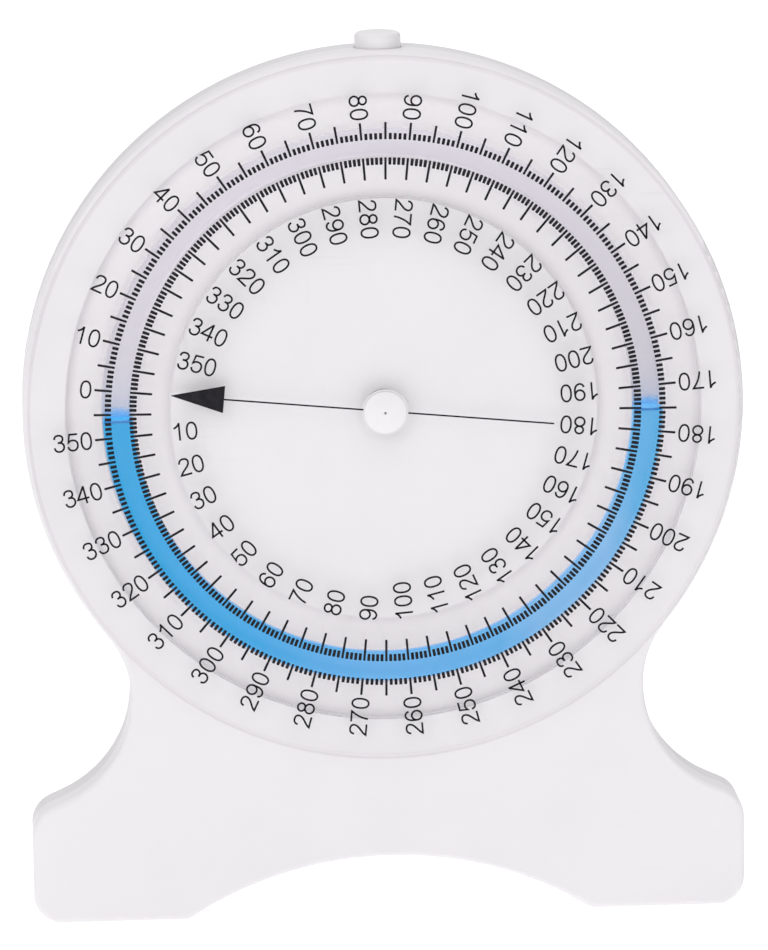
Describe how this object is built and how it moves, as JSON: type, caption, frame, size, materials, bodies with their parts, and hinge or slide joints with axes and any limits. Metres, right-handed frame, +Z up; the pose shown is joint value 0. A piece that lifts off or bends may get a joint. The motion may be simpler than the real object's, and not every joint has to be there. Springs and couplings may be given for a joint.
{
  "type": "bubble inclinometer",
  "caption": "Round white angle finder on flared feet with an arch between them: a clear printed dial turns on a hub in front of a sealed ring of blue liquid.",
  "frame": {"origin": "on the surface that the feet stand on, in the middle of the width and of the depth", "axes": "+Z up, +X to the right as seen from the front, -Y out of the dial towards the reader"},
  "size_m": [0.1124, 0.0132, 0.1398],
  "materials": {
    "white_moulding": "satin moulded",
    "white_cover": "fine moulded grain",
    "zinc_screw": "bright zinc",
    "clear_vial": "clear polished",
    "blue_liquid": "clear coloured liquid",
    "white_plug": "satin",
    "seal_rubber": "matte",
    "clear_dial": "clear polished",
    "black_print": "printed ink on the dial",
    "white_pin": "satin",
    "washer_plastic": "natural",
    "spring_steel": "spring steel"
  },
  "bodies": {
    "case": {"case_body": "white_moulding", "back_cover": "white_cover", "cover_screws": "zinc_screw", "vial_channel": "clear_vial", "vial_cover": "clear_vial", "fill_plug": "white_plug", "plug_seal": "seal_rubber", "hub_pin": "white_pin", "friction_washer": "washer_plastic", "hub_clip": "spring_steel"},
    "dial": {"dial": "clear_dial"},
    "liquid": {"coloured_liquid": "blue_liquid"}
  },
  "joints": [
    {"name": "dial_turn", "type": "hinge", "parent": "case", "child": "dial", "pos_m": [0, -0.0045, 0.08125], "axis": [0, 1, 0], "continuous": true},
    {"name": "liquid_level", "type": "hinge", "parent": "case", "child": "liquid", "pos_m": [0, 0.0006, 0.08125], "axis": [0, 1, 0], "continuous": true}
  ]
}
